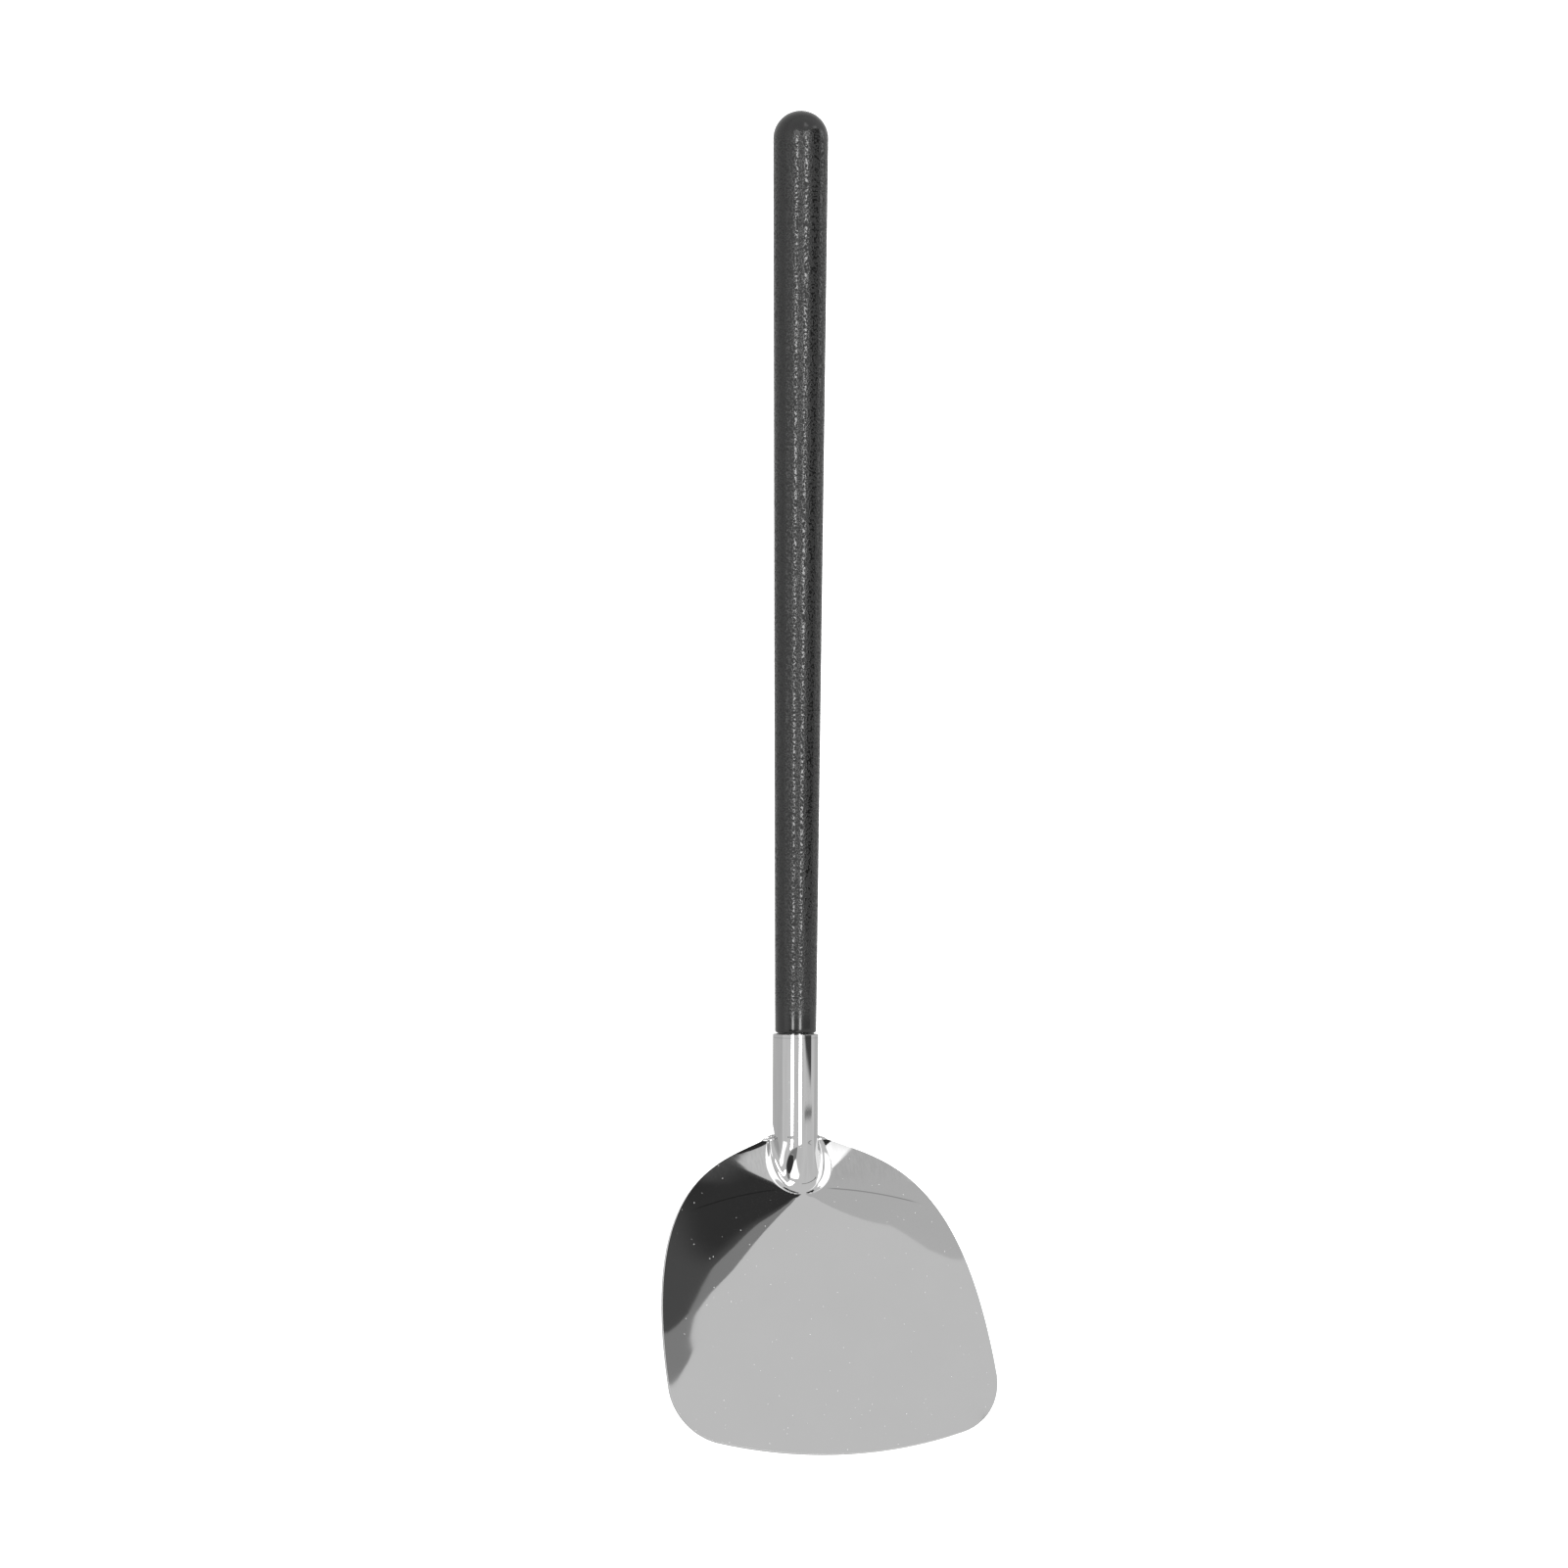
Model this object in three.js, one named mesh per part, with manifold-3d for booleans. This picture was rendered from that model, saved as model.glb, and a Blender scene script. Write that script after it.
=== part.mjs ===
import * as THREE from "three";
import Module from "manifold-3d";
import { mergeVertices } from "three/addons/utils/BufferGeometryUtils.js";

// Flat turner with a long handle, in millimetres, +Z up.
// Blade, neck and socket are one stamped sheet, rolled closed round the handle's spigot.
// It lies food side up with the handle along +Y, and the plane x = 0 is its mirror plane.
// The pieces are drawn with the socket's axis as the Y axis and the neck line at y = 0.

// stamped sheet
const sheetThickness = 1.2;

// rolled socket, closed by a butt seam at the back that opens toward the neck
const socketRadius = 7.65;
const socketLength = 35.9;
const seamGap = 0.5;
const seamMouthLength = 12;
const neckLength = 2.5;
const neckOpenAngle = (88 * Math.PI) / 180;

// blade plane: its rise toward the front, and its depth under the socket's axis at the neck line
const bladePitch = (26 * Math.PI) / 180;
const bladeDrop = 1.09;

// outline of the flattened blade, measured along it from the neck line
const bladeHalfWidth = 58.15;
const shoulderHalfWidth = 11.5;
const shoulderFlare = 16.9;
const shoulderRun = 7.9;
const sideFlare = 72;
const sideLength = 84.5;
const cornerRadius = 20;
const frontBowRadius = 165;

// bump where the socket runs out into the blade: a round top over a hollow skirt, with a blunt nose
const bumpTopShare = 0.65;
const bumpBluntness = 2.5;
const bumpSkirtPower = 3;
const bumpDroopStart = 0.5;
const bumpDroopRadius = 60;
const bumpTipBlend = 1.7;

// wings that curl up gently on both sides, folded outward from the bump's tip
const wingFoldAngle = (28 * Math.PI) / 180;
const wingCurl = 0.065;

// handle
const handleButtRadius = 6.93;
const handleEndRadius = 9.24;
const handleLength = 308.9;
const handleRimGap = 0.5;
const handleButtRound = 0.7;
const spigotLength = 20;
const spigotChamfer = 1;
const fitClearance = 0.3;

// round-head pin through the back of the socket into the spigot
const pinShankRadius = 1.1;
const pinHeadRadius = 2.6;
const pinHeadHeight = 0.9;
const pinLength = 7;
const pinPointLength = 1.6;
const pinFromRim = 9;

// overrun of a cutting tool past the face that it opens
const cutOverrun = 1;

// step for finding the slope, as a share of one column or row
const slopeStep = 1e-3;

// how finely the curved forms are drawn
const bumpColumns = 9;
const shoulderColumns = 12;
const cornerColumns = 4;
const columnSpread = 2.2;
const socketRows = 4;
const mouthRows = 8;
const neckRows = 4;
const bumpRows = 16;
const sideRows = 8;
const cornerRows = 4;
const handleSides = 40;
const endRings = 8;
const roundSteps = 3;
const pinSides = 16;
const headRings = 4;
const halvings = 40;

const wasm = await Module();
wasm.setup();

function lerp(a, b, share) {
  return a + (b - a) * share;
}

function smooth(share) {
  const t = Math.min(Math.max(share, 0), 1);
  return t * t * (3 - 2 * t);
}

// the positive part of x, with its corner rounded over a width of k on each side
function softPositive(x, k) {
  if (x <= -k) return 0;
  return x >= k ? x : (x + k) ** 2 / (4 * k);
}

// the value between low and high where a rising test turns true
function bisect(low, high, isPast) {
  for (let i = 0; i < halvings; i++) {
    const middle = (low + high) / 2;
    if (isPast(middle)) high = middle;
    else low = middle;
  }
  return low;
}

// the blade's outline, x across and y along the flattened blade
const sideCurve = new THREE.CubicBezierCurve(
  new THREE.Vector2(shoulderHalfWidth, 0),
  new THREE.Vector2(shoulderHalfWidth + shoulderFlare, shoulderRun),
  new THREE.Vector2(bladeHalfWidth, sideLength - sideFlare),
  new THREE.Vector2(bladeHalfWidth, sideLength),
);

function sidePoint(run) {
  return sideCurve.getPoint(bisect(0, 1, (t) => sideCurve.getPoint(t).y > run));
}

// the corner's arc touches the straight side at share 0 and the front bow at share 1
const cornerCentre = new THREE.Vector2(bladeHalfWidth - cornerRadius, sideLength);
const bowLean = Math.asin(cornerCentre.x / (frontBowRadius - cornerRadius));
const bowCentre = cornerCentre.y - (frontBowRadius - cornerRadius) * Math.cos(bowLean);
const bladeLength = bowCentre + frontBowRadius;

function cornerPoint(share) {
  const angle = (Math.PI / 2 - bowLean) * share;
  return new THREE.Vector2(Math.cos(angle), Math.sin(angle)).multiplyScalar(cornerRadius).add(cornerCentre);
}

function bowPoint(share) {
  const angle = bowLean * share;
  return new THREE.Vector2(frontBowRadius * Math.sin(angle), bowCentre + frontBowRadius * Math.cos(angle));
}

// the food side as a height over the plan
function planeHeight(y) {
  return -bladeDrop - Math.tan(bladePitch) * y;
}

// top line of the bump: straight on from the socket, then drooping to its tip
function ridgeHeight(y) {
  return socketRadius - Math.max(-y - bumpDroopStart, 0) ** 2 / (2 * bumpDroopRadius);
}

const tipY = -bisect(0, bladeHalfWidth, (back) => ridgeHeight(-back) < planeHeight(-back) - bumpTipBlend);
const tipRun = -tipY / Math.cos(bladePitch);

// at the neck line the round top is the socket's, down to where its flanks reach the skirt
const neckRise = ridgeHeight(0) - planeHeight(0);
const neckSlope = Math.acos(1 - (bumpTopShare * neckRise) / socketRadius);
const flankHalfWidth = socketRadius * Math.sin(neckSlope);

// half width of the round top, which closes to a blunt nose at the tip
function flankAt(y) {
  const share = Math.min(Math.max(y / tipY, 0), 1);
  return flankHalfWidth * (1 - share ** bumpBluntness) ** (1 / bumpBluntness);
}

// the bump's height over the blade's plane, and the share of the skirt that is passed at this side
function bumpAt(side, y) {
  const rise = softPositive(ridgeHeight(y) - planeHeight(y), bumpTipBlend);
  const flank = flankAt(y);
  if (rise === 0 || flank === 0) return { height: 0, passed: 1 };
  const slope = 2 * Math.atan2(bumpTopShare * rise, flank);
  const radius = flank / Math.sin(slope);
  if (side < flank) return { height: rise - radius + Math.sqrt(radius ** 2 - side ** 2), passed: 0 };
  const skirt = (1 - bumpTopShare) * rise;
  const passed = Math.min(((side - flank) * Math.tan(slope)) / (bumpSkirtPower * skirt), 1);
  return { height: skirt * (1 - passed) ** bumpSkirtPower, passed };
}

// the wing is a cone round the bump's tip that starts at the fold angle and stands off the plane
function wingHeight(x, y) {
  const run = -y / Math.cos(bladePitch) - tipRun;
  const past = Math.max(Math.atan2(Math.abs(x), run) - wingFoldAngle, 0);
  return wingCurl * Math.sin(past) ** 2 * Math.hypot(x, run);
}

// point of the food side over a point of the plan: the plane with the bump and the wing on it
function bladeSurface(x, y) {
  const bump = bumpAt(Math.abs(x), y);
  const wing = wingHeight(x, y) * smooth(bump.passed);
  const height = planeHeight(y) + bump.height + wing * Math.cos(bladePitch);
  return new THREE.Vector3(x, y + wing * Math.sin(bladePitch), height);
}

// columns across half the sheet, counted from the mirror plane to the cut edge
const columns = bumpColumns + shoulderColumns;

function shoulderShare(column) {
  return Math.max(column - bumpColumns, 0) / shoulderColumns;
}

// place across the neck line: over the round top, then down the flank and out along the shoulder
function neckColumnX(column) {
  if (column <= bumpColumns) return socketRadius * Math.sin((neckSlope * column) / bumpColumns);
  return lerp(flankHalfWidth, shoulderHalfWidth, shoulderShare(column));
}

// the rolled part: round the socket's axis, open at the back toward the neck
function seamAngle(y) {
  const closed = Math.PI - seamGap / (2 * socketRadius);
  return lerp(neckOpenAngle, closed, smooth((y - neckLength) / seamMouthLength));
}

function roundAngle(column, y) {
  const bunched = column <= bumpColumns
    ? (neckSlope * column) / bumpColumns
    : lerp(neckSlope, neckOpenAngle, shoulderShare(column));
  const even = (neckOpenAngle * column) / columns;
  const opened = lerp(bunched, even, smooth((y - neckLength) / seamMouthLength));
  return (opened * seamAngle(y)) / neckOpenAngle;
}

function roundPoint(column, y) {
  const angle = roundAngle(column, Math.max(y, neckLength));
  return new THREE.Vector3(socketRadius * Math.sin(angle), y, socketRadius * Math.cos(angle));
}

// between the neck's end and the neck line the flanks turn outward into the shoulders
function turningPoint(column, y) {
  return bladeSurface(neckColumnX(column), y).lerp(roundPoint(column, y), smooth(y / neckLength));
}

// the blade: rows follow the neck line first and the front edge last
const bumpRun = tipRun + bumpTipBlend;
const bladeRows = sideRows + cornerRows;
const sideStart = bisect(0, 1, (t) => sideCurve.getPoint(t).y > bumpRun);

// outer end of a row
function rowEdge(row) {
  if (row <= bumpRows) return sidePoint((bumpRun * row) / bumpRows);
  const past = row - bumpRows;
  if (past <= sideRows) return sideCurve.getPoint(lerp(sideStart, 1, past / sideRows));
  return cornerPoint((past - sideRows) / cornerRows / 2);
}

// inner end of a row, on the mirror plane
function rowMiddle(row) {
  const run = row <= bumpRows
    ? (bumpRun * row) / bumpRows
    : lerp(bumpRun, bladeLength, (row - bumpRows) / bladeRows);
  return new THREE.Vector2(0, run);
}

// place of a column on the front edge, whose last columns share the corner
function frontPoint(column) {
  const bowColumns = columns - cornerColumns;
  if (column <= bowColumns) return bowPoint(column / bowColumns);
  return cornerPoint(1 - (column - bowColumns) / cornerColumns / 2);
}

// a patch stretched between the neck line, the front edge, the mirror plane and the side
function bladePoint(column, row) {
  const across = shoulderShare(column) ** columnSpread;
  const along = smooth((row - bumpRows) / bladeRows);
  const lastRow = bumpRows + bladeRows;
  const sides = rowMiddle(row).lerp(rowEdge(row), across);
  const ends = new THREE.Vector2(neckColumnX(column), 0).lerp(frontPoint(column), along);
  const nearCorners = rowMiddle(0).lerp(rowEdge(0), across);
  const farCorners = rowMiddle(lastRow).lerp(rowEdge(lastRow), across);
  const plan = sides.add(ends).sub(nearCorners.lerp(farCorners, along));
  return bladeSurface(plan.x, -plan.y * Math.cos(bladePitch));
}

// the whole food side, from the socket's rim (row 0) to the front edge
const rimRow = 0;
const mouthRow = rimRow + socketRows;
const neckRow = mouthRow + mouthRows;
const bladeRow = neckRow + neckRows;
const frontRow = bladeRow + bumpRows + bladeRows;

function facePoint(column, row) {
  const side = Math.abs(column);
  const mirror = column < 0 ? -1 : 1;
  const mouthEnd = neckLength + seamMouthLength;
  let point;
  if (row >= bladeRow) point = bladePoint(side, row - bladeRow);
  else if (row >= neckRow) point = turningPoint(side, lerp(neckLength, 0, (row - neckRow) / neckRows));
  else if (row >= mouthRow) point = roundPoint(side, lerp(mouthEnd, neckLength, (row - mouthRow) / mouthRows));
  else point = roundPoint(side, lerp(socketLength, mouthEnd, row / socketRows));
  point.x *= mirror;
  return point;
}

// outward direction of the food side, from small steps along a column and a row
function faceNormal(column, row) {
  const before = facePoint(Math.max(column - slopeStep, -columns), row);
  const after = facePoint(Math.min(column + slopeStep, columns), row);
  const back = facePoint(column, Math.max(row - slopeStep, rimRow));
  const ahead = facePoint(column, Math.min(row + slopeStep, frontRow));
  return ahead.sub(back).cross(after.sub(before)).normalize();
}

// closed bodies
function geometryOf(points, triangles) {
  const geometry = new THREE.BufferGeometry();
  geometry.setAttribute("position", new THREE.Float32BufferAttribute(points.flatMap((p) => [p.x, p.y, p.z]), 3));
  geometry.setIndex(triangles);
  return geometry;
}

// both faces of the sheet and the cut edge between them
function sheetGeometry() {
  const across = columns * 2 + 1;
  const down = frontRow + 1;
  const face = [];
  const back = [];
  for (let row = rimRow; row <= frontRow; row++) {
    for (let column = -columns; column <= columns; column++) {
      const point = facePoint(column, row);
      face.push(point);
      back.push(point.clone().addScaledVector(faceNormal(column, row), -sheetThickness));
    }
  }
  const at = (i, j) => j * across + i;
  const under = face.length;
  const triangles = [];
  const quad = (a, b, c, d) => triangles.push(a, b, c, a, c, d);
  for (let j = 0; j + 1 < down; j++) {
    for (let i = 0; i + 1 < across; i++) {
      const [a, b, c, d] = [at(i, j), at(i, j + 1), at(i + 1, j + 1), at(i + 1, j)];
      quad(a, b, c, d);
      quad(under + a, under + d, under + c, under + b);
    }
    quad(at(0, j), under + at(0, j), under + at(0, j + 1), at(0, j + 1));
    const last = across - 1;
    quad(at(last, j), at(last, j + 1), under + at(last, j + 1), under + at(last, j));
  }
  for (let i = 0; i + 1 < across; i++) {
    quad(at(i, 0), at(i + 1, 0), under + at(i + 1, 0), under + at(i, 0));
    quad(at(i, down - 1), under + at(i, down - 1), under + at(i + 1, down - 1), at(i + 1, down - 1));
  }
  return geometryOf(face.concat(back), triangles);
}

function solidOf(geometry) {
  const bare = geometry.clone();
  bare.deleteAttribute("normal");
  bare.deleteAttribute("uv");
  const merged = mergeVertices(bare);
  const vertProperties = new Float32Array(merged.attributes.position.array);
  const triVerts = new Uint32Array(merged.index.array);
  return new wasm.Manifold(new wasm.Mesh({ numProp: 3, vertProperties, triVerts }));
}

function geometryFrom(solid) {
  const mesh = solid.getMesh();
  const geometry = new THREE.BufferGeometry();
  geometry.setAttribute("position", new THREE.BufferAttribute(mesh.vertProperties, 3));
  geometry.setIndex(new THREE.BufferAttribute(mesh.triVerts, 1));
  geometry.computeVertexNormals();
  return geometry;
}

// a turned form about the Y axis, from points of radius and place along the axis
function turned(profile, sides) {
  return new THREE.LatheGeometry(profile, sides);
}

// the drill for the pin, straight up from below into the socket and spigot
const pinY = socketLength - pinFromRim;
const pinTop = -(socketRadius + fitClearance);

function drillGeometry() {
  const top = pinTop + pinLength + fitClearance;
  const bottom = pinTop - cutOverrun;
  const radius = pinShankRadius + fitClearance;
  const drill = new THREE.CylinderGeometry(radius, radius, top - bottom, pinSides);
  return drill.rotateX(Math.PI / 2).translate(0, pinY, (top + bottom) / 2);
}

function makeHead() {
  return geometryFrom(solidOf(sheetGeometry()).subtract(solidOf(drillGeometry())));
}

function makeHandle() {
  const butt = socketLength + handleRimGap;
  const end = butt + handleLength;
  const spigotRadius = socketRadius - sheetThickness - fitClearance;
  const spigotTip = socketLength - spigotLength;
  const profile = [new THREE.Vector2(0, spigotTip)];
  profile.push(new THREE.Vector2(spigotRadius - spigotChamfer, spigotTip));
  profile.push(new THREE.Vector2(spigotRadius, spigotTip + spigotChamfer));
  profile.push(new THREE.Vector2(spigotRadius, butt));
  for (let i = 0; i <= roundSteps; i++) {
    const angle = (Math.PI / 2) * (i / roundSteps);
    const radius = handleButtRadius - handleButtRound * (1 - Math.sin(angle));
    profile.push(new THREE.Vector2(radius, butt + handleButtRound * (1 - Math.cos(angle))));
  }
  for (let i = 0; i < endRings; i++) {
    const angle = (Math.PI / 2) * (i / endRings);
    profile.push(new THREE.Vector2(
      handleEndRadius * Math.cos(angle),
      end - handleEndRadius * (1 - Math.sin(angle)),
    ));
  }
  profile.push(new THREE.Vector2(0, end));
  return geometryFrom(solidOf(turned(profile, handleSides)).subtract(solidOf(drillGeometry())));
}

// the pin is drawn point up along Y, then stood under the socket
function makePin() {
  const profile = [new THREE.Vector2(0, -pinHeadHeight)];
  for (let i = 1; i <= headRings; i++) {
    const angle = (Math.PI / 2) * (i / headRings);
    profile.push(new THREE.Vector2(pinHeadRadius * Math.sin(angle), -pinHeadHeight * Math.cos(angle)));
  }
  profile.push(new THREE.Vector2(pinShankRadius, 0));
  profile.push(new THREE.Vector2(pinShankRadius, pinLength - pinPointLength));
  profile.push(new THREE.Vector2(0, pinLength));
  return turned(profile, pinSides).rotateX(Math.PI / 2).translate(0, pinY, pinTop);
}

const polishedSteel = new THREE.MeshStandardMaterial({ color: 0xc9c9c7, roughness: 0.14, metalness: 1 });
const blackPlastic = new THREE.MeshStandardMaterial({ color: 0x151515, roughness: 0.42, metalness: 0 });
const pinSteel = new THREE.MeshStandardMaterial({ color: 0xbdbdbb, roughness: 0.3, metalness: 1 });

function piece(name, geometry, material) {
  const mesh = new THREE.Mesh(geometry, material);
  mesh.name = name;
  return mesh;
}

const turner = new THREE.Group();
turner.add(piece("head", makeHead(), polishedSteel));
turner.add(piece("handle", makeHandle(), blackPlastic));
turner.add(piece("retaining_pin", makePin(), pinSteel));

// the origin is the middle of the underside
const box = new THREE.Box3().setFromObject(turner, true);
const centre = box.getCenter(new THREE.Vector3());
turner.position.set(-centre.x, -centre.y, -box.min.z);

const ladle = new THREE.Group();
ladle.add(turner);
ladle.updateMatrixWorld(true);

export default ladle;
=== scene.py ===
import math

import bpy
import numpy as np
from bpy.props import FloatProperty, FloatVectorProperty, PointerProperty
from bpy.types import Operator, Panel, PropertyGroup
from mathutils import Matrix, Vector


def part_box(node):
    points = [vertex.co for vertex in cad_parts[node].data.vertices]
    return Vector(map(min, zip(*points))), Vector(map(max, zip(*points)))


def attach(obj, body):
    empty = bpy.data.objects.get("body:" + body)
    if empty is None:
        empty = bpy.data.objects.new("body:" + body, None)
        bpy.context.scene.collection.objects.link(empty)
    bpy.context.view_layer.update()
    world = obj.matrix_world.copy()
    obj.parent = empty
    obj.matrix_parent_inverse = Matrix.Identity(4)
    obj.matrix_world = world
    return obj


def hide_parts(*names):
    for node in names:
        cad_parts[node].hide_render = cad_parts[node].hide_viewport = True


bl_info = {
    "name": "Ladle turner",
    "version": (1, 0, 0),
    "blender": (4, 5, 0),
    "location": "3D View > Sidebar > Ladle",
    "description": "Builds the turner: stamped steel head, grained black handle, pin, studio",
    "category": "Object",
}

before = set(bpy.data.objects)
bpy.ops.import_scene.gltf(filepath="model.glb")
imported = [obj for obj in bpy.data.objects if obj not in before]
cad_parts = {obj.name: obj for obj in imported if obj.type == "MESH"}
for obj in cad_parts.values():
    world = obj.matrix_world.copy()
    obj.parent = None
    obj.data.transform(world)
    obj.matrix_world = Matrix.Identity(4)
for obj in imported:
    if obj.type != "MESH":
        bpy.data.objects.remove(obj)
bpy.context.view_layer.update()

MM = 0.001

# The pieces are drawn as in the part's source: in millimetres, with the socket's axis
# as the Y axis and the neck line at y = 0. settle() brings them into the row frame.
HANDLE_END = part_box("handle")[1]
AXIS_HEIGHT = HANDLE_END.z / MM / 2
SOCKET_RADIUS = 7.65
SOCKET_LENGTH = 35.9
SEAM_GAP = 0.5
SEAM_MOUTH = 12.0
NECK_LENGTH = 2.5
NECK_OPEN = math.radians(88)
PITCH = math.radians(26)
BLADE_DROP = 1.09
BLADE_HALF = 58.15
SHOULDER_HALF = 11.5
SHOULDER_FLARE = 16.9
SHOULDER_RUN = 7.9
SIDE_FLARE = 72.0
SIDE_LENGTH = 84.5
CORNER_RADIUS = 20.0
BOW_RADIUS = 165.0
TOP_SHARE = 0.65
BLUNTNESS = 2.5
SKIRT_POWER = 3
DROOP_START = 0.5
DROOP_RADIUS = 60.0
TIP_BLEND = 1.7
WING_FOLD = math.radians(28)
BUTT_RADIUS = 6.93
END_RADIUS = 9.24
HANDLE_LENGTH = 308.9
RIM_GAP = 0.5
BUTT_ROUND = 0.7
SPIGOT_LENGTH = 20.0
SPIGOT_CHAMFER = 1.0
CLEARANCE = 0.3
PIN_SHANK = 1.1
PIN_HEAD = 2.6
PIN_HEAD_HEIGHT = 0.9
PIN_LENGTH = 7.0
PIN_POINT = 1.6
PIN_FROM_RIM = 9.0
FOOT = SOCKET_LENGTH + RIM_GAP
NECK_TO_ROW = Vector((0, HANDLE_END.y / MM - FOOT - HANDLE_LENGTH, AXIS_HEIGHT))

# columns and rows of the sheet as in the source, each split finely
BUMP_COLUMNS, SHOULDER_COLUMNS, CORNER_COLUMNS = 9, 12, 4
COLUMNS = BUMP_COLUMNS + SHOULDER_COLUMNS
COLUMN_SPREAD = 2.2
SOCKET_ROWS, MOUTH_ROWS, NECK_ROWS, BUMP_ROWS, SIDE_ROWS, CORNER_ROWS = 4, 8, 4, 16, 8, 4
NECK_ROW = SOCKET_ROWS + MOUTH_ROWS
BLADE_ROW = NECK_ROW + NECK_ROWS
BLADE_ROWS = SIDE_ROWS + CORNER_ROWS
FRONT_ROW = BLADE_ROW + BUMP_ROWS + BLADE_ROWS
SPLIT = 4

# how finely the side's curve and the bump's tip are searched, and where the bump counts as flat
CURVE_STEPS, TIP_STEPS = 8001, 200001
NO_RISE, NO_WIDTH = 1e-6, 1e-3


def lerp(a, b, share):
    return a + (b - a) * share


def smooth(share):
    t = np.clip(share, 0, 1)
    return t * t * (3 - 2 * t)


def soft_positive(x, k):
    return np.where(x <= -k, 0, np.where(x >= k, x, (x + k) ** 2 / (4 * k)))


# the blade's outline on the flattened sheet: the side's curve, the corner's arc and the front's bow
def side_curve(t):
    t = np.asarray(t, float)
    ends = (SHOULDER_HALF, 0), (SHOULDER_HALF + SHOULDER_FLARE, SHOULDER_RUN)
    ends += (BLADE_HALF, SIDE_LENGTH - SIDE_FLARE), (BLADE_HALF, SIDE_LENGTH)
    shares = (1 - t) ** 3, 3 * t * (1 - t) ** 2, 3 * t * t * (1 - t), t**3
    return tuple(sum(s * p[i] for s, p in zip(shares, ends)) for i in (0, 1))


CURVE_SHARES = np.linspace(0, 1, CURVE_STEPS)
CURVE_RUNS = side_curve(CURVE_SHARES)[1]
CORNER_X = BLADE_HALF - CORNER_RADIUS
BOW_LEAN = math.asin(CORNER_X / (BOW_RADIUS - CORNER_RADIUS))
BOW_CENTRE = SIDE_LENGTH - (BOW_RADIUS - CORNER_RADIUS) * math.cos(BOW_LEAN)
BLADE_LENGTH = BOW_CENTRE + BOW_RADIUS


def corner_point(share):
    angle = (math.pi / 2 - BOW_LEAN) * share
    return CORNER_X + CORNER_RADIUS * np.cos(angle), SIDE_LENGTH + CORNER_RADIUS * np.sin(angle)


def bow_point(share):
    angle = BOW_LEAN * share
    return BOW_RADIUS * np.sin(angle), BOW_CENTRE + BOW_RADIUS * np.cos(angle)


def plane_height(y):
    return -BLADE_DROP - math.tan(PITCH) * y


def ridge_height(y):
    return SOCKET_RADIUS - np.maximum(-y - DROOP_START, 0) ** 2 / (2 * DROOP_RADIUS)


def bump_tip():
    """Where the bump runs out into the blade."""
    backs = np.linspace(0, BLADE_HALF, TIP_STEPS)
    return -backs[np.argmax(ridge_height(-backs) < plane_height(-backs) - TIP_BLEND)]


TIP_Y = bump_tip()
TIP_RUN = -TIP_Y / math.cos(PITCH)
BUMP_RUN = TIP_RUN + TIP_BLEND
NECK_RISE = float(ridge_height(0) - plane_height(0))
NECK_SLOPE = math.acos(1 - TOP_SHARE * NECK_RISE / SOCKET_RADIUS)
FLANK_HALF = SOCKET_RADIUS * math.sin(NECK_SLOPE)


def wing_height(x, y, curl):
    """How far the wing curls up, beside a fold that starts at the bump's tip."""
    run = -y / math.cos(PITCH) - TIP_RUN
    past = np.maximum(np.arctan2(np.abs(x), run) - WING_FOLD, 0)
    return curl * np.sin(past) ** 2 * np.hypot(x, run)


def bump_at(side, y):
    """The bump's height over the blade's plane, and how far its hollow skirt is passed."""
    rise = soft_positive(ridge_height(y) - plane_height(y), TIP_BLEND)
    flank = FLANK_HALF * (1 - np.clip(y / TIP_Y, 0, 1) ** BLUNTNESS) ** (1 / BLUNTNESS)
    flat = (rise < NO_RISE) | (flank < NO_WIDTH)
    rise, flank = np.where(flat, 1, rise), np.where(flat, 1, flank)
    slope = 2 * np.arctan2(TOP_SHARE * rise, flank)
    radius = flank / np.sin(slope)
    skirt = (1 - TOP_SHARE) * rise
    top = rise - radius + np.sqrt(np.maximum(radius**2 - side**2, 0))
    passed = np.clip((side - flank) * np.tan(slope) / (SKIRT_POWER * skirt), 0, 1)
    height = np.where(side < flank, top, skirt * (1 - passed) ** SKIRT_POWER)
    return np.where(flat, 0, height), np.where(flat, 1, passed)


def blade_surface(x, y, curl):
    """Food side over a point of the plan: the plane with the bump and the wing on it."""
    bump, passed = bump_at(np.abs(x), y)
    wing = wing_height(x, y, curl) * smooth(passed)
    height = plane_height(y) + bump + wing * math.cos(PITCH)
    return np.stack([x, y + wing * math.sin(PITCH), height], -1)


def shoulder_share(column):
    return np.maximum(column - BUMP_COLUMNS, 0) / SHOULDER_COLUMNS


def neck_column_x(column):
    bump = SOCKET_RADIUS * np.sin(NECK_SLOPE * column / BUMP_COLUMNS)
    shoulder = lerp(FLANK_HALF, SHOULDER_HALF, shoulder_share(column))
    return np.where(column <= BUMP_COLUMNS, bump, shoulder)


def round_angle(column, y):
    """Angle from the top round the socket's axis, which closes from the neck to the seam."""
    past = smooth((y - NECK_LENGTH) / SEAM_MOUTH)
    shoulder = lerp(NECK_SLOPE, NECK_OPEN, shoulder_share(column))
    bunched = np.where(column <= BUMP_COLUMNS, NECK_SLOPE * column / BUMP_COLUMNS, shoulder)
    closed = math.pi - SEAM_GAP / (2 * SOCKET_RADIUS)
    even = lerp(bunched, NECK_OPEN * column / COLUMNS, past)
    return even * lerp(NECK_OPEN, closed, past) / NECK_OPEN


def on_circle(angle, y):
    return np.stack([SOCKET_RADIUS * np.sin(angle), y, SOCKET_RADIUS * np.cos(angle)], -1)


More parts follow.
